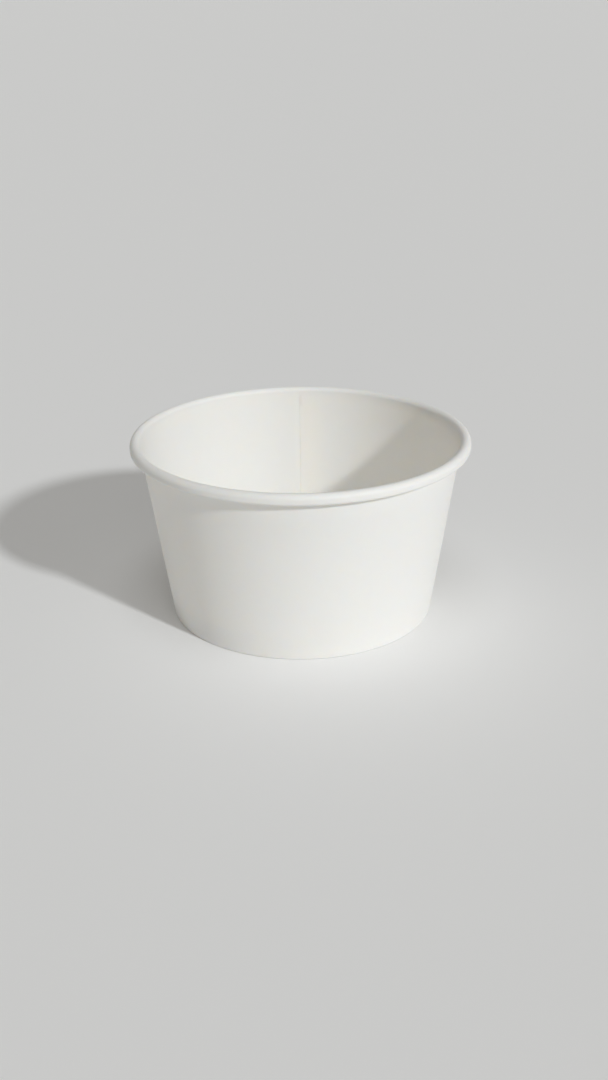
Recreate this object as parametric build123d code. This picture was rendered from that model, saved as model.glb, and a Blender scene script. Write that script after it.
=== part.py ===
from build123d import *
import os
from math import asin, atan2, cos, degrees, hypot, radians, sin, sqrt

# Paper food container: a round tub made of two pieces of white board.
# The sidewall is one blank wrapped into a cone. Its ends are lapped in an upright side seam, its top
# edge is rolled outwards into the rim, and its bottom edge is folded in and up as a hem.
# The base is a pressed disc whose skirt is turned down into that hem.
# Lengths are in millimetres and angles in degrees. +Z is up, the origin is on the floor at the middle
# of the foot, and the raw edge of the seam inside the tub faces -X at +Y.

# Overall sizes
rim_diameter = 115.0
foot_diameter = 90.5
height = 62.0

# Sidewall board
wall_board = 0.4
hem_height = 7.0
fold_radius_share = 0.22

# Rolled rim: the board turns over from the wall in a wide arc, drops straight down, and curls under.
# Its end is tucked up between the roll and the wall.
roll_width = 3.7
roll_drop = 0.75
curl_radius = 1.1
roll_clearance = 0.1
tuck_turn = 150.0

# Side seam: one end of the blank ramps out and laps behind the other. The lap is pressed, so that it
# steps out by less than the thickness of the board, and thins out towards the foot and the rim.
seam_angle = 90.0
seam_step = 0.3
lap_width = 9.0
ramp_width = 2.5
press_length = 4.0
ramp_overrun = 0.04
cut_overrun = 0.5

# Base, glued between the wall and the hem
base_board = 0.35
base_bend_radius = 0.6
glue_line = 0.05
hem_tip_gap = 0.4

# Worked out from the sizes above
rim_radius = rim_diameter / 2
roll_radius = roll_width / 2
roll_height = roll_radius + roll_drop + curl_radius
hem_gap = base_board + 2 * glue_line
fold_radius = fold_radius_share * hem_gap
fold_mid_radius = fold_radius + wall_board / 2
roll_mid_radius = roll_radius - wall_board / 2
curl_mid_radius = curl_radius - wall_board / 2
lap_angle = degrees(lap_width / rim_radius)
ramp_angle = degrees(ramp_width / rim_radius)

# The wall runs straight from the fold at the foot to the roll at the rim, tangent to both arcs,
# which lie on opposite sides of it. Points are (radius, height) pairs.
fold_centre = Vector(foot_diameter / 2 - wall_board - fold_radius, wall_board + fold_radius)
roll_centre = Vector(rim_radius - roll_radius, height - roll_radius)
centre_run = roll_centre.X - fold_centre.X
centre_rise = roll_centre.Y - fold_centre.Y
centre_distance = hypot(centre_run, centre_rise)
mid_radii = fold_mid_radius + roll_mid_radius
wall_heading = degrees(atan2(centre_rise, centre_run) + asin(mid_radii / centre_distance))
wall_length = sqrt(centre_distance**2 - mid_radii**2)
wall_lean = 90 - wall_heading
along_wall = Vector(cos(radians(wall_heading)), sin(radians(wall_heading)))
into_tub = Vector(-along_wall.Y, along_wall.X)
wall_start = fold_centre - into_tub * fold_mid_radius

# The curl's floor runs in towards the wall until the tucked end stands clear of it
curl_depth = roll_mid_radius + (roll_mid_radius - curl_mid_radius) * along_wall.Y + roll_drop * along_wall.X
curl_floor = curl_depth - curl_mid_radius - wall_board - roll_clearance

# The base lies above the free edge of the hem
disc_underside = hem_height + hem_tip_gap + base_bend_radius
disc_top = disc_underside + base_board


def sheet_section(thickness, start, heading, moves):
    """Face of a bent sheet, drawn along its mid-line.

    A move of (length,) is straight, and a move of (radius, turn) is a bend at the mid-line, to the
    left where the turn is positive.
    """
    edges = []
    ends = []
    for side in (thickness / 2, -thickness / 2):
        direction = heading
        point = start + Vector(side, 0).rotate(Axis.Z, direction + 90)
        ends.append(point)
        for move in moves:
            tangent = Vector(1, 0).rotate(Axis.Z, direction)
            if len(move) == 1:
                edge = Line(point, point + tangent * move[0])
            else:
                radius, turn = move
                face_radius = radius - side if turn > 0 else radius + side
                edge = JernArc(point, tangent, face_radius, turn)
                direction += turn
            edges.append(edge)
            point = edge @ 1
        ends.append(point)
    left_start, left_end, right_start, right_end = ends
    return make_face(edges + [Line(left_start, right_start), Line(left_end, right_end)])


def radial_plane(angle):
    """Plane through the tub's axis, with its x axis outwards at the angle and its y axis up."""
    outwards = Vector(cos(radians(angle)), sin(radians(angle)))
    return Plane(origin=(0, 0, 0), x_dir=outwards, z_dir=Vector(outwards.Y, -outwards.X))


def turned(section, angle, arc):
    """Solid that a section makes as it turns about the tub's axis from the angle."""
    return revolve(radial_plane(angle) * section, axis=Axis.Z, revolution_arc=arc)


def wall_point(distance, depth):
    """Point at a distance up the wall and a depth outwards from its food side."""
    return wall_start + along_wall * distance + into_tub * (wall_board / 2 - depth)


def wall_distance(level):
    """Distance up the wall at which its mid-line reaches a level above the floor."""
    return (level - wall_start.Y) / along_wall.Y


def seam_section(low, high, near, far):
    """Strip along the wall between two depths, with its far side pressed down to the near at its ends."""
    return make_face(
        Polyline(
            wall_point(low, near),
            wall_point(low + press_length, far),
            wall_point(high - press_length, far),
            wall_point(high, near),
            close=True,
        )
    )


def seam_ramp(span, near, far):
    """Wedge beside the seam, whose far side comes out by the seam's step over the ramp."""
    thin_end = seam_section(*span, near, far - seam_step - ramp_overrun)
    full_end = seam_section(*span, near, far)
    ends = [radial_plane(seam_angle + ramp_angle) * thin_end, radial_plane(seam_angle) * full_end]
    return loft(ends, ruled=True)


def add_seam(cone):
    """Lap the ends of the blank: the outer layer stands proud outside, the inner one ends inside."""
    outer_span = (0, wall_distance(height - roll_height - roll_clearance))
    inner_span = (wall_distance(disc_top), wall_length)
    outer_near = wall_board / 2
    outer_far = wall_board + seam_step
    lap = turned(seam_section(*outer_span, outer_near, outer_far), seam_angle - lap_angle, lap_angle)
    outer_ramp = seam_ramp(outer_span, outer_near, outer_far)
    inner_ramp = seam_ramp(inner_span, -cut_overrun, seam_step)
    return cone + lap + outer_ramp - inner_ramp


def make_sidewall():
    """Cone of board with its hem, rolled rim and lapped seam."""
    hem_centre = fold_centre - Vector((hem_gap - 2 * fold_radius) / along_wall.Y, 0)
    hem_fold = hem_centre + into_tub * fold_mid_radius
    hem_length = (hem_height - hem_fold.Y) / along_wall.Y
    cone = turned(
        sheet_section(
            wall_board,
            hem_fold + along_wall * hem_length,
            wall_heading + 180,
            [
                (hem_length,),
                (fold_mid_radius, 90 + wall_lean),
                (fold_centre.X - hem_centre.X,),
                (fold_mid_radius, wall_heading),
                (wall_length,),
                (roll_mid_radius, -90 - wall_heading),
                (roll_drop,),
                (curl_mid_radius, wall_heading - 180),
                (curl_floor,),
                (curl_mid_radius, -tuck_turn),
            ],
        ),
        0,
        360,
    )
    return add_seam(cone)


def make_base_disc():
    """Flat disc with its skirt turned down between the wall and the hem."""
    bend_mid_radius = base_bend_radius + base_board / 2
    inset = wall_board / 2 + glue_line + base_board / 2
    skirt_start_level = wall_board + fold_radius
    bend_start_level = disc_underside - base_bend_radius - bend_mid_radius * along_wall.X
    skirt_length = (bend_start_level - skirt_start_level) / along_wall.Y
    skirt_start = wall_start + into_tub * inset
    skirt_start += along_wall * ((skirt_start_level - skirt_start.Y) / along_wall.Y)
    bend_end = skirt_start + along_wall * skirt_length + into_tub * bend_mid_radius
    section = sheet_section(
        base_board,
        skirt_start,
        wall_heading,
        [(skirt_length,), (bend_mid_radius, 90 + wall_lean), (bend_end.X,)],
    )
    return turned(section, 0, 360)


os.makedirs("parts", exist_ok=True)
nodes = {"sidewall": make_sidewall(), "base_disc": make_base_disc()}
for name, solid in nodes.items():
    export_step(solid, f"parts/{name}.step")
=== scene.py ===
"""White paper tub: its rolled rim, lapped seam and raised base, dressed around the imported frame."""

import logging
import math
from contextlib import contextmanager
from dataclasses import dataclass, field, replace
from enum import Enum
from typing import Callable, Iterator, Sequence, Union

import bmesh
import bpy
from mathutils import Matrix, Vector


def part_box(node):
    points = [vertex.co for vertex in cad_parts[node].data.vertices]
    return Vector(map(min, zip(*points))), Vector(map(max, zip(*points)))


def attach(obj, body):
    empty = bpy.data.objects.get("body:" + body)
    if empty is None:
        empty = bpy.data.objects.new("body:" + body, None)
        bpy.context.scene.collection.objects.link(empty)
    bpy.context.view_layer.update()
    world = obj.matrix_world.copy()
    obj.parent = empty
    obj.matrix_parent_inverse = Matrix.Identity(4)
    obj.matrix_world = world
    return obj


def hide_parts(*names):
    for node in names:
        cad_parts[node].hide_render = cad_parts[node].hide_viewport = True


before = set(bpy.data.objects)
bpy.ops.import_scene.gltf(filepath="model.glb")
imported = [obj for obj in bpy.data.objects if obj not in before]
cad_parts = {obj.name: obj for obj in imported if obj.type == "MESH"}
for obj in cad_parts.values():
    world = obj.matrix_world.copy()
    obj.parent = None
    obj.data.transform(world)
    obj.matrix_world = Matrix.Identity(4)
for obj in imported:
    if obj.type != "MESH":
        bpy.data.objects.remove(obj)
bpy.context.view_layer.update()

MM = 0.001
MERGE_DISTANCE = 0.001 * MM
SMOOTH_ANGLE = math.radians(32)
ROOT = "root"
LOG = logging.getLogger("paper_tub")

# Sockets of a Mix node that mixes colours
MIX_FACTOR, MIX_LOW, MIX_HIGH, MIX_RESULT = 0, 6, 7, 2

# Middle levels of a Displace modifier
OUTWARDS_ONLY = 0.0
INWARDS_ONLY = 1.0

Colour = tuple[float, float, float, float]
Number = Union["Value", float]


class Skin(Enum):
    """The parts of the sidewall's surface that are moved apart."""

    FOOD = "food_side"
    OUTER = "outer_side"
    SEAM_FOOD = "seam_food_side"
    SEAM_OUTER = "seam_outer_side"
    ROLL = "roll_skin"


class Layers(Enum):
    """How the sidewall's board lies, in the order of its material slots."""

    SINGLE = 0
    STACKED = 1


class Lamp(Enum):
    """The lamps of the studio."""

    KEY = "key_lamp"
    FILL = "fill_lamp"
    TOP = "top_lamp"


# Shader expressions


class Value:
    """A number in a shader tree, on which Python's operators add Math nodes."""

    def __init__(self, tree: "ShaderTree", socket: bpy.types.NodeSocket) -> None:
        """Wrap a socket.

        Args:
            tree: The shader tree that the socket belongs to.
            socket: The output socket that carries the number.
        """
        self.tree = tree
        self.socket = socket

    def __add__(self, other: Number) -> "Value":
        """Sum with a number or another value."""
        return self.tree.math("ADD", self, other)

    def __radd__(self, other: float) -> "Value":
        """Sum, with the number first."""
        return self.tree.math("ADD", other, self)

    def __mul__(self, other: Number) -> "Value":
        """Product with a number or another value."""
        return self.tree.math("MULTIPLY", self, other)

    def __rmul__(self, other: float) -> "Value":
        """Product, with the number first."""
        return self.tree.math("MULTIPLY", other, self)


class ShaderTree:
    """The nodes of a material or of the sky, and the one method that adds them."""

    def __init__(self, owner: bpy.types.Material | bpy.types.World) -> None:
        """Empty the tree of its owner.

        Args:
            owner: The material or the world.
        """
        owner.use_nodes = True
        self.nodes = owner.node_tree.nodes
        self.links = owner.node_tree.links
        self.nodes.clear()

    def node(
        self, kind: str, settings: dict[str, object] | None = None, **sockets: object
    ) -> bpy.types.Node:
        """Add a node.

        Args:
            kind: The node's type.
            settings: Properties of the node, set before its sockets.
            sockets: Values or links of its inputs, with _ for a space in a name.

        Returns:
            The new node.
        """
        made = self.nodes.new(kind)
        for key, value in (settings or {}).items():
            setattr(made, key, value)
        self.fill(made, **sockets)
        return made

    def fill(self, node: bpy.types.Node, **sockets: object) -> None:
        """Set inputs of a node.

        Args:
            node: The node.
            sockets: Values or links of its inputs, with _ for a space in a name.
        """
        for key, value in sockets.items():
            self.feed(node.inputs[key.replace("_", " ")], value)

    def feed(self, socket: bpy.types.NodeSocket, value: object) -> None:
        """Set an input socket.

        Args:
            socket: The input.
            value: A Value, an output socket, or a plain value.
        """
        if isinstance(value, Value):
            value = value.socket
        if isinstance(value, bpy.types.NodeSocket):
            self.links.new(value, socket)
        else:
            socket.default_value = value

    def math(self, operation: str, first: Number, second: Number) -> Value:
        """Add a Math node.

        Args:
            operation: The node's operation.
            first: Its first number.
            second: Its second number.

        Returns:
            The result.
        """
        made = self.node("ShaderNodeMath", {"operation": operation})
        self.feed(made.inputs[0], first)
        self.feed(made.inputs[1], second)
        return Value(self, made.outputs[0])

    def noise(self, size: float, detail: float, roughness: float) -> Value:
        """Add a cloud pattern on Object coordinates.

        Args:
            size: Width of one cloud, in metres.
            detail: Number of finer octaves.
            roughness: Share that each finer octave keeps.

        Returns:
            The pattern, from 0 to 1.
        """
        place = self.node("ShaderNodeTexCoord").outputs["Object"]
        made = self.node(
            "ShaderNodeTexNoise", Vector=place, Scale=1 / size, Detail=detail, Roughness=roughness
        )
        return Value(self, made.outputs["Fac"])

    def blend(self, amount: Number, low: Colour, high: Colour) -> bpy.types.NodeSocket:
        """Mix two colours.

        Args:
            amount: Share of the second colour.
            low: First colour.
            high: Second colour.

        Returns:
            The mixed colour's socket.
        """
        made = self.node("ShaderNodeMix", {"data_type": "RGBA"})
        self.feed(made.inputs[MIX_FACTOR], amount)
        self.feed(made.inputs[MIX_LOW], low)
        self.feed(made.inputs[MIX_HIGH], high)
        return made.outputs[MIX_RESULT]


class MaterialTree(ShaderTree):
    """A material with a Principled shader."""

    def __init__(self, name: str) -> None:
        """Make the material.

        Args:
            name: The material's name.
        """
        self.material = bpy.data.materials.new(name)
        super().__init__(self.material)
        self.shader = self.node("ShaderNodeBsdfPrincipled")
        self.node("ShaderNodeOutputMaterial", Surface=self.shader.outputs["BSDF"])


# Finishes


@dataclass(frozen=True)
class BoardFinish:
    """Bleached board: soft clouds of fibre, a fine tooth, and a satin face that lets some light in."""

    name: str
    scatter_depth: float
    thin_fibre: Colour = (0.888, 0.870, 0.831, 1.0)
    dense_fibre: Colour = (0.908, 0.892, 0.856, 1.0)
    sheen_low: float = 0.5
    sheen_span: float = 0.16
    specular: float = 0.45
    cloud_size: float = 2.6 * MM
    cloud_detail: float = 4.0
    cloud_gain: float = 0.6
    cloud_share: float = 0.65
    fibre_size: float = 0.22 * MM
    fibre_detail: float = 3.0
    fibre_gain: float = 0.65
    tooth_share: float = 0.7
    tooth_height: float = 0.012 * MM
    tooth_strength: float = 0.35
    scatter_weight: float = 1.0
    scatter_spread: tuple[float, float, float] = (1.0, 0.88, 0.74)

    def material(self) -> bpy.types.Material:
        """Make the material.

        Returns:
            The new material.
        """
        tree = MaterialTree(self.name)
        clouds = tree.noise(self.cloud_size, self.cloud_detail, self.cloud_gain)
        fibres = tree.noise(self.fibre_size, self.fibre_detail, self.fibre_gain)
        formation = clouds * self.cloud_share + fibres * (1 - self.cloud_share)
        tooth = tree.node(
            "ShaderNodeBump",
            Height=fibres * self.tooth_share + clouds * (1 - self.tooth_share),
            Strength=self.tooth_strength,
            Distance=self.tooth_height,
        )
        tree.fill(
            tree.shader,
            Base_Color=tree.blend(formation, self.thin_fibre, self.dense_fibre),
            Roughness=self.sheen_low + self.sheen_span * fibres,
            Specular_IOR_Level=self.specular,
            Subsurface_Weight=self.scatter_weight,
            Subsurface_Radius=self.scatter_spread,
            Subsurface_Scale=self.scatter_depth,
            Normal=tooth.outputs["Normal"],
        )
        return tree.material


@dataclass(frozen=True)
class FloorFinish:
    """Plain pale studio floor."""

    name: str
    colour: Colour
    roughness: float

    def material(self) -> bpy.types.Material:
        """Make the material.

        Returns:
            The new material.
        """
        tree = MaterialTree(self.name)
        tree.fill(tree.shader, Base_Color=self.colour, Roughness=self.roughness)
        return tree.material


# Modelling by hand


def deselect() -> None:
    """Leave nothing selected."""
    bpy.ops.object.select_all(action="DESELECT")


@contextmanager
def editing(piece: bpy.types.Object) -> Iterator[None]:
    """Open one piece in edit mode.

    Args:
        piece: The mesh object.
    """
    deselect()
    bpy.context.view_layer.objects.active = piece
    piece.select_set(True)
    bpy.ops.object.mode_set(mode="EDIT")
    yield
    bpy.ops.object.mode_set(mode="OBJECT")


def select_points(piece: bpy.types.Object, wanted: Callable[[Vector], bool]) -> None:
    """Select the points of an open mesh by their place.

    Args:
        piece: The mesh object, in edit mode.
        wanted: Test of a point's place.
    """
    bpy.ops.mesh.select_mode(type="VERT")
    bpy.ops.mesh.select_all(action="DESELECT")
    shape = bmesh.from_edit_mesh(piece.data)
    for point in shape.verts:
        point.select = wanted(point.co)
    shape.select_flush(True)
    bmesh.update_edit_mesh(piece.data)


def apply_modifier(piece: bpy.types.Object, kind: str, **settings: object) -> None:
    """Add a modifier and apply it.

    Args:
        piece: The mesh object, in object mode.
        kind: The modifier's type.
        settings: Its properties.
    """
    deselect()
    bpy.context.view_layer.objects.active = piece
    piece.select_set(True)
    made = piece.modifiers.new(kind.lower(), kind)
    for key, value in settings.items():
        setattr(made, key, value)
    bpy.ops.object.modifier_apply(modifier=made.name)


def cloud_texture(name: str, size: float) -> bpy.types.Texture:
    """Make the soft noise that a Displace modifier reads.

    Args:
        name: The texture's name.
        size: Width of one cloud, in metres.

    Returns:
        The texture.
    """
    made = bpy.data.textures.new(name, "CLOUDS")
    made.noise_scale = size
    made.noise_depth = 1
    return made


def smooth_step(share: float) -> float:
    """Ease a share from 0 to 1, level at both ends."""
    kept = min(1.0, max(0.0, share))
    return kept * kept * (3 - 2 * kept)


class BoardPen:
    """Draws the section of a bent sheet, by pushing one short edge along the sheet's mid-line."""

    def __init__(self, name: str, board: float, start: Vector, heading: float) -> None:
        """Lay the first edge across the board.

        Args:
            name: Name of the new piece.
            board: Thickness of the sheet.
            start: End of the mid-line, in the XZ plane.
            heading: Way that the mid-line leaves it, from +X towards +Z.
        """
        self.point = start.copy()
        self.heading = heading
        deselect()
        bpy.ops.mesh.primitive_plane_add(
            size=board,
            location=self.point - self.ahead * board / 2,
            rotation=(math.pi / 2, -heading, 0),
        )
        self.piece = bpy.context.object
        self.piece.name = name
        self.piece.data.name = name
        bpy.ops.object.transform_apply(location=True, rotation=True, scale=True)
        first, way = self.point.copy(), self.ahead.copy()
        with editing(self.piece):
            select_points(self.piece, lambda place: (place - first).dot(way) < -board / 2)
            bpy.ops.mesh.delete(type="VERT")

    @property
    def ahead(self) -> Vector:
        """Way that the mid-line runs."""
        return Vector((math.cos(self.heading), 0, math.sin(self.heading)))

    @property
    def left(self) -> Vector:
        """Way to the left of the mid-line, seen with +X to the right and +Z up."""
        return Vector((-math.sin(self.heading), 0, math.cos(self.heading)))

    def straight(self, length: float, parts: int) -> None:
        """Extrude the edge straight on.

        Args:
            length: How far.
            parts: Number of equal steps.
        """
        step = self.ahead * length / parts
        for _ in range(parts):
            bpy.ops.mesh.extrude_region_move(TRANSFORM_OT_translate={"value": step})
        self.point = self.point + self.ahead * length

    def bend(self, radius: float, turn: float, parts: int) -> None:
        """Spin the edge about the centre of a bend.

        Args:
            radius: Radius at the mid-line.
            turn: Angle, to the left where it is positive.
            parts: Number of equal steps.
        """
        side = math.copysign(1.0, turn)
        centre = self.point + self.left * radius * side
        bpy.ops.mesh.spin(steps=parts, angle=turn, center=centre, axis=(0, 1, 0))
        self.heading += turn
        self.point = centre - self.left * radius * side

    def outline(self) -> None:
        """Keep only the edge round the section."""
        bpy.ops.mesh.select_mode(type="EDGE")
        bpy.ops.mesh.select_all(action="SELECT")
        bpy.ops.mesh.region_to_loop()
        bpy.ops.mesh.select_all(action="INVERT")
        bpy.ops.mesh.delete(type="EDGE_FACE")
        bpy.ops.mesh.select_all(action="SELECT")


def turn_section(stages: Sequence[tuple[float, int]]) -> None:
    """Spin the selected section about the tub's axis, one stage after another, and close the ring.

    Args:
        stages: Angle and number of steps of each stage.
    """
    for angle, parts in stages:
        bpy.ops.mesh.spin(steps=parts, angle=angle, center=(0, 0, 0), axis=(0, 0, -1))
    bpy.ops.mesh.select_all(action="SELECT")
    bpy.ops.mesh.remove_doubles(threshold=MERGE_DISTANCE)
    bpy.ops.mesh.delete_loose(use_verts=True, use_edges=True, use_faces=False)
    bpy.ops.mesh.select_all(action="SELECT")
    bpy.ops.mesh.normals_make_consistent(inside=False)


# The tub


@dataclass
class Wall:
    """The straight stretch of board between the fold at the foot and the roll at the rim."""

    start: Vector
    length: float
    heading: float
    board: float

    @property
    def along(self) -> Vector:
        """Way up the wall, in the XZ plane."""
        return Vector((math.cos(self.heading), 0, math.sin(self.heading)))

    @property
    def inwards(self) -> Vector:
        """Way from the wall into the tub, in the XZ plane."""
        return Vector((-math.sin(self.heading), 0, math.cos(self.heading)))

    def locate(self, place: Vector) -> tuple[float, float]:
        """Find a point on the wall.

        Args:
            place: A point of the tub.

        Returns:
            Its distance up the wall, and its depth from the food side.
        """
        flat = Vector((math.hypot(place.x, place.y), 0, place.z)) - self.start
        return flat.dot(self.along), self.board / 2 - flat.dot(self.inwards)

    def distance_at(self, level: float) -> float:
        """Distance up the wall at which its mid-line reaches a level."""
        return (level - self.start.z) / self.along.z


@dataclass(frozen=True)
class SidewallSteps:
    """Numbers of steps along the sidewall's section, across its seam and round the tub."""

    hem: int = 5
    fold: int = 6
    land: int = 1
    wall: int = 44
    roll: int = 28
    drop: int = 2
    curl: int = 14
    curl_floor: int = 2
    tuck: int = 10
    raw_edge: int = 2
    lap: int = 6
    ramp: int = 10
    round: int = 240


@dataclass
class Sidewall:
    """The cone of board, with its hem, rolled rim and lapped seam."""

    rim_radius: float
    height: float
    foot_radius: float = 45.25 * MM
    board: float = 0.4 * MM
    hem_height: float = 7.0 * MM
    hem_gap: float = 0.45 * MM
    fold_radius: float = 0.099 * MM
    roll_radius: float = 1.85 * MM
    roll_drop: float = 0.75 * MM
    curl_radius: float = 1.1 * MM
    roll_clearance: float = 0.1 * MM
    tuck_turn: float = math.radians(150)
    seam_angle: float = math.radians(90)
    lap_width: float = 9.0 * MM
    ramp_width: float = 2.5 * MM
    raw_edge_width: float = 0.22 * MM
    press_length: float = 4.0 * MM
    seam_sink: float = 0.13 * MM
    seam_rise: float = 0.3 * MM
    base_level: float = 8.35 * MM
    wave_size: float = 26.0 * MM
    wave_height: float = 0.10 * MM
    ripple_size: float = 3.2 * MM
    ripple_height: float = 0.06 * MM
    skin_reach: float = 1.2 * MM
    steps: SidewallSteps = SidewallSteps()
    fold_centre: Vector = field(init=False)
    wall: Wall = field(init=False)
    piece: bpy.types.Object = field(init=False)

    def __post_init__(self) -> None:
        """Lay the wall tangent to the fold at the foot and to the roll at the rim."""
        fold_mid = self.fold_radius + self.board / 2
        roll_mid = self.roll_radius - self.board / 2
        inset = self.fold_radius + self.board
        self.fold_centre = Vector((self.foot_radius - inset, 0, inset))
        roll_centre = Vector((self.rim_radius - self.roll_radius, 0, self.height - self.roll_radius))
        run = roll_centre - self.fold_centre
        crossing = fold_mid + roll_mid
        heading = math.atan2(run.z, run.x) + math.asin(crossing / run.length)
        inwards = Vector((-math.sin(heading), 0, math.cos(heading)))
        length = math.sqrt(run.length_squared - crossing**2)
        self.wall = Wall(self.fold_centre - inwards * fold_mid, length, heading, self.board)

    @property
    def roll_level(self) -> float:
        """Level of the roll's lower edge."""
        return self.height - self.roll_radius - self.roll_drop - self.curl_radius

    @property
    def lap_angle(self) -> float:
        """Angle that the lap covers."""
        return self.lap_width / self.rim_radius

    @property
    def ramp_angle(self) -> float:
        """Angle over which the board steps out behind the lap."""
        return self.ramp_width / self.rim_radius

    @property
    def raw_edge_angle(self) -> float:
        """Angle that one cut edge of the lap takes."""
        return self.raw_edge_width / self.rim_radius

    def build(self) -> bpy.types.Object:
        """Model the piece.

        Returns:
            The finished mesh object.
        """
        self.draw_section()
        self.lap_seam()
        self.soften()
        deselect()
        self.piece.select_set(True)
        bpy.ops.object.shade_smooth_by_angle(angle=SMOOTH_ANGLE)
        return self.piece

    def draw_section(self) -> None:
        """Bend the board from the hem's free edge to the tucked end of the roll, and turn it round."""
        fold_mid = self.fold_radius + self.board / 2
        roll_mid = self.roll_radius - self.board / 2
        curl_mid = self.curl_radius - self.board / 2
        along = self.wall.along
        curl_depth = roll_mid + (roll_mid - curl_mid) * along.z + self.roll_drop * along.x
        curl_floor = curl_depth - curl_mid - self.board - self.roll_clearance
        land = (self.hem_gap - 2 * self.fold_radius) / along.z
        hem_fold = self.fold_centre - Vector((land, 0, 0)) + self.wall.inwards * fold_mid
        hem_length = (self.hem_height - hem_fold.z) / along.z
        hem_tip = hem_fold + along * hem_length
        pen = BoardPen("sidewall_board", self.board, hem_tip, self.wall.heading + math.pi)
        self.piece = pen.piece
        with editing(self.piece):
            bpy.ops.mesh.select_all(action="SELECT")
            pen.straight(hem_length, self.steps.hem)
            pen.bend(fold_mid, math.pi - self.wall.heading, self.steps.fold)
            pen.straight(land, self.steps.land)
            pen.bend(fold_mid, self.wall.heading, self.steps.fold)
            pen.straight(self.wall.length, self.steps.wall)
            pen.bend(roll_mid, -self.wall.heading - math.pi / 2, self.steps.roll)
            pen.straight(self.roll_drop, self.steps.drop)
            pen.bend(curl_mid, self.wall.heading - math.pi, self.steps.curl)
            pen.straight(curl_floor, self.steps.curl_floor)
            pen.bend(curl_mid, -self.tuck_turn, self.steps.tuck)
            pen.outline()
            self.face_seam()
            turn_section(self.turn_stages())

    def face_seam(self) -> None:
        """Turn the flat section to where the outer cut edge of the lap begins."""
        start = self.seam_angle - self.lap_angle - self.raw_edge_angle
        matrix = Matrix.Rotation(start, 4, "Z")
        shape = bmesh.from_edit_mesh(self.piece.data)
        bmesh.ops.transform(shape, matrix=matrix, verts=shape.verts)
        bmesh.update_edit_mesh(self.piece.data)

    def turn_stages(self) -> list[tuple[float, int]]:
        """List the stages of the turn.

        Returns:
            Angle and number of steps of the outer cut edge, the lap, the inner cut edge, the ramp and
            the rest.
        """
        edge = (self.raw_edge_angle, self.steps.raw_edge)
        lap = (self.lap_angle, self.steps.lap)
        ramp = (self.ramp_angle, self.steps.ramp)
        rest = 2 * math.pi - 2 * self.raw_edge_angle - self.lap_angle - self.ramp_angle
        return [edge, lap, edge, ramp, (rest, self.steps.round)]

    def add_groups(self, *skins: Skin) -> dict[Skin, bpy.types.VertexGroup]:
        """Add an empty group of points for each of some skins.

        Args:
            skins: The skins.

        Returns:
            The group of each skin.
        """
        return {skin: self.piece.vertex_groups.new(name=skin.value) for skin in skins}

    def lap_seam(self) -> None:
        """Step the board out behind the lap: proud outside, and back to the raw edge inside."""
        outer_span = (0.0, self.wall.distance_at(self.roll_level - self.roll_clearance))
        food_span = (self.wall.distance_at(self.base_level), self.wall.length)
        groups = self.add_groups(Skin.SEAM_FOOD, Skin.SEAM_OUTER)
        edge = self.raw_edge_angle
        near = self.board / 4
        for point in self.piece.data.vertices:
            distance, depth = self.wall.locate(point.co)
            past_seam = math.atan2(point.co.y, point.co.x) - self.seam_angle
            fall = smooth_step(1 - (past_seam - edge) / self.ramp_angle)
            if abs(depth) < near:
                weight = fall * smooth_step(past_seam / edge) * self.pressed(distance, food_span)
                groups[Skin.SEAM_FOOD].add([point.index], weight, "REPLACE")
            elif abs(depth - self.board) < near:
                past_lap = past_seam + self.lap_angle + edge
                weight = fall * smooth_step(past_lap / edge) * self.pressed(distance, outer_span)
                groups[Skin.SEAM_OUTER].add([point.index], weight, "REPLACE")
        for skin, strength in ((Skin.SEAM_FOOD, -self.seam_sink), (Skin.SEAM_OUTER, self.seam_rise)):
            self.push(skin, strength, mid_level=OUTWARDS_ONLY)

    def pressed(self, distance: float, span: tuple[float, float]) -> float:
        """Share of the seam's full step, which fades towards the ends of its span.

        Args:
            distance: Distance up the wall.
            span: The seam's two ends.

        Returns:
            The share, from 0 to 1.
        """
        low, high = span
        return smooth_step(min(distance - low, high - distance) / self.press_length)

    def soften(self) -> None:
        """Give the wall a faint wave and the roll a faint ripple, as wrapped board has."""
        groups = self.add_groups(Skin.FOOD, Skin.OUTER, Skin.ROLL)
        for point in self.piece.data.vertices:
            distance, depth = self.wall.locate(point.co)
            on_wall = self.pressed(distance, (self.hem_height, self.wall.length))
            if abs(depth) < self.board:
                groups[Skin.FOOD].add([point.index], on_wall, "REPLACE")
            elif depth < self.skin_reach:
                groups[Skin.OUTER].add([point.index], on_wall, "REPLACE")
            on_roll = smooth_step((distance - self.wall.length + self.roll_radius) / self.roll_radius)
            groups[Skin.ROLL].add([point.index], on_roll, "REPLACE")
        wave = cloud_texture("wall_wave", self.wave_size)
        ripple = cloud_texture("roll_ripple", self.ripple_size)
        self.push(Skin.FOOD, -self.wave_height, texture=wave)
        self.push(Skin.OUTER, self.wave_height, texture=wave)
        self.push(Skin.ROLL, self.ripple_height, mid_level=INWARDS_ONLY, texture=ripple)

    def push(self, skin: Skin, strength: float, **settings: object) -> None:
        """Move one skin along its normals.

        Args:
            skin: The skin, whose group of points is there already.
            strength: How far, the way that the skin faces where it is positive.
            settings: Other properties of the Displace modifier.
        """
        apply_modifier(self.piece, "DISPLACE", strength=strength, vertex_group=skin.value, **settings)

    def layers_at(self, place: Vector) -> Layers:
        """Tell how the board lies at a point.

        Args:
            place: A point of the piece.

        Returns:
            Single between the base and the roll, and else stacked.
        """
        return Layers.SINGLE if self.base_level < place.z < self.roll_level else Layers.STACKED

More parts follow.
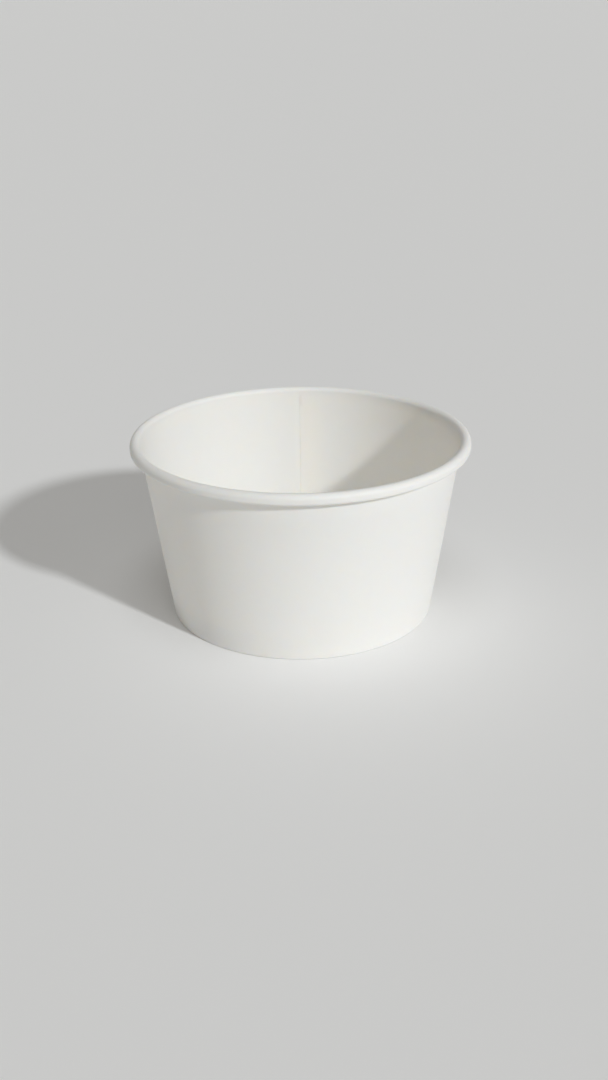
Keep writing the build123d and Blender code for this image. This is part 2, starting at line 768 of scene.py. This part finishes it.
    def dress(self, finishes: dict[Layers, bpy.types.Material]) -> None:
        """Give each face its finish, and the piece its place in the frame.

        Args:
            finishes: The board's material for each way that it lies.
        """
        for layers in Layers:
            self.piece.data.materials.append(finishes[layers])
        for face in self.piece.data.polygons:
            face.material_index = self.layers_at(face.center).value
        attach(self.piece, ROOT)
        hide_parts("sidewall")


@dataclass(frozen=True)
class BaseSteps:
    """Numbers of steps along the base's section and round the tub."""

    skirt: int = 4
    bend: int = 8
    disc: int = 24
    round: int = 180


@dataclass
class BaseDisc:
    """The flat base, with its skirt turned down into the hem."""

    wall: Wall
    board: float = 0.35 * MM
    glue_line: float = 0.05 * MM
    bend_radius: float = 0.6 * MM
    underside: float = 8.0 * MM
    skirt_level: float = 0.499 * MM
    steps: BaseSteps = BaseSteps()
    piece: bpy.types.Object = field(init=False)

    def build(self) -> bpy.types.Object:
        """Model the piece.

        Returns:
            The finished mesh object.
        """
        bend_mid = self.bend_radius + self.board / 2
        inset = self.wall.board / 2 + self.glue_line + self.board / 2
        line = self.wall.start + self.wall.inwards * inset
        start = line + self.wall.along * ((self.skirt_level - line.z) / self.wall.along.z)
        bend_level = self.underside - self.bend_radius - bend_mid * self.wall.along.x
        skirt_length = (bend_level - start.z) / self.wall.along.z
        pen = BoardPen("base_board_disc", self.board, start, self.wall.heading)
        self.piece = pen.piece
        with editing(self.piece):
            bpy.ops.mesh.select_all(action="SELECT")
            pen.straight(skirt_length, self.steps.skirt)
            pen.bend(bend_mid, math.pi - self.wall.heading, self.steps.bend)
            pen.straight(pen.point.x, self.steps.disc)
            pen.outline()
            turn_section([(2 * math.pi, self.steps.round)])
        deselect()
        self.piece.select_set(True)
        bpy.ops.object.shade_smooth_by_angle(angle=SMOOTH_ANGLE)
        return self.piece

    def dress(self, finish: bpy.types.Material) -> None:
        """Give the piece its finish and its place in the frame.

        Args:
            finish: The board's material.
        """
        self.piece.data.materials.append(finish)
        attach(self.piece, ROOT)
        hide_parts("base_disc")


# The studio


@dataclass(frozen=True)
class LampPlace:
    """Where a soft distant lamp hangs: its turn to the right of the camera's side and its rise.

    The size is the angle that its disc fills.
    """

    turn: float
    rise: float
    size: float
    strength: float


def studio_lamps() -> dict[Lamp, LampPlace]:
    """Place the lamps: a key from the right, a broad fill from the front, and one overhead."""
    small, broad = math.radians(4), math.radians(30)
    return {
        Lamp.KEY: LampPlace(turn=math.radians(41.5), rise=math.radians(30), size=small, strength=1.76),
        Lamp.FILL: LampPlace(turn=math.radians(5), rise=math.radians(28), size=broad, strength=0.14),
        Lamp.TOP: LampPlace(turn=0.0, rise=math.radians(75), size=broad, strength=0.46),
    }


@dataclass
class Studio:
    """Pale floor, soft lamps, an even sky and the camera at the photograph's angle."""

    floor_size: float = 30.0
    sky_colour: Colour = (1.0, 0.965, 0.90, 1.0)
    sky_strength: float = 0.225
    backdrop_colour: Colour = (0.585, 0.585, 0.575, 1.0)
    lamp_colour: tuple[float, float, float] = (0.96, 0.98, 1.0)
    lamps: dict[Lamp, LampPlace] = field(default_factory=studio_lamps)
    image_height_px: float = 1080.0
    focal_px: float = 1331.94
    sensor_height: float = 36.0
    camera_distance: float = 462.26 * MM
    camera_rise: float = math.radians(22.2787)
    camera_pitch: float = math.radians(23.1930)
    camera_yaw: float = math.radians(-0.1109)
    camera_roll: float = math.radians(-0.6259)

    def lay_floor(self, finish: bpy.types.Material) -> bpy.types.Object:
        """Lay the floor.

        Args:
            finish: The floor's material.

        Returns:
            The floor's object.
        """
        deselect()
        bpy.ops.mesh.primitive_plane_add(size=self.floor_size)
        floor = bpy.context.object
        floor.name = "floor"
        floor.data.materials.append(finish)
        return floor

    def hang_lamp(self, lamp: Lamp, place: LampPlace) -> None:
        """Hang one lamp.

        Args:
            lamp: Which lamp.
            place: Where it hangs, and how it shines.
        """
        data = bpy.data.lights.new(lamp.value, "SUN")
        data.energy = place.strength
        data.color = self.lamp_colour
        data.angle = place.size
        made = bpy.data.objects.new(lamp.value, data)
        bpy.context.scene.collection.objects.link(made)
        tilt = Matrix.Rotation(math.pi / 2 - place.rise, 4, "X")
        made.matrix_world = Matrix.Rotation(place.turn, 4, "Z") @ tilt

    def light(self) -> None:
        """Hang the lamps and set the sky."""
        for lamp, place in self.lamps.items():
            self.hang_lamp(lamp, place)
        self.spread_sky()
        bpy.context.scene.view_settings.view_transform = "Standard"

    def spread_sky(self) -> None:
        """Light the tub evenly from all sides, behind a pale backdrop that the camera sees."""
        world = bpy.data.worlds.new("studio_sky")
        tree = ShaderTree(world)
        rays = tree.node("ShaderNodeLightPath").outputs
        seen = Value(tree, rays["Is Camera Ray"])
        for kind in ("Is Glossy Ray", "Is Transmission Ray"):
            seen = seen + Value(tree, rays[kind])
        light = tree.node("ShaderNodeBackground", Color=self.sky_colour, Strength=self.sky_strength)
        backdrop = tree.node("ShaderNodeBackground", Color=self.backdrop_colour)
        either = tree.node("ShaderNodeMixShader", Fac=seen)
        tree.feed(either.inputs[1], light.outputs["Background"])
        tree.feed(either.inputs[2], backdrop.outputs["Background"])
        tree.node("ShaderNodeOutputWorld", Surface=either.outputs["Shader"])
        bpy.context.scene.world = world

    def place_camera(self, middle: float) -> None:
        """Stand the camera where the photograph was taken from.

        Args:
            middle: Height of the tub's middle, which the camera's distance and rise are measured from.
        """
        data = bpy.data.cameras.new("photo_camera")
        data.sensor_fit = "VERTICAL"
        data.sensor_height = self.sensor_height
        data.lens = self.focal_px / self.image_height_px * self.sensor_height
        made = bpy.data.objects.new("photo_camera", data)
        bpy.context.scene.collection.objects.link(made)
        level = self.camera_distance * math.cos(self.camera_rise)
        made.matrix_world = (
            Matrix.Translation((0, -level, middle + self.camera_distance * math.sin(self.camera_rise)))
            @ Matrix.Rotation(self.camera_yaw, 4, "Z")
            @ Matrix.Rotation(math.pi / 2 - self.camera_pitch, 4, "X")
            @ Matrix.Rotation(self.camera_roll, 4, "Z")
        )
        bpy.context.scene.camera = made


def main() -> None:
    """Build the tub and its studio."""
    logging.basicConfig(level=logging.INFO, format="%(message)s")
    _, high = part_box("sidewall")
    single = BoardFinish(name="single_board", scatter_depth=0.7 * MM)
    stacked = replace(
        single,
        name="stacked_board",
        scatter_depth=0.35 * MM,
        thin_fibre=(0.882, 0.869, 0.835, 1.0),
        dense_fibre=(0.902, 0.891, 0.860, 1.0),
    )
    base_board = replace(stacked, name="base_board", scatter_depth=0.15 * MM)
    board = {Layers.SINGLE: single.material(), Layers.STACKED: stacked.material()}
    sidewall = Sidewall(rim_radius=high.x, height=high.z)
    LOG.info("built %s", sidewall.build().name)
    sidewall.dress(board)
    base = BaseDisc(wall=sidewall.wall)
    LOG.info("built %s", base.build().name)
    base.dress(base_board.material())
    studio = Studio()
    floor = FloorFinish(name="studio_floor", colour=(0.89, 0.89, 0.885, 1.0), roughness=0.7)
    LOG.info("laid %s", studio.lay_floor(floor.material()).name)
    studio.light()
    studio.place_camera(high.z / 2)


if __name__ == "__main__":
    main()
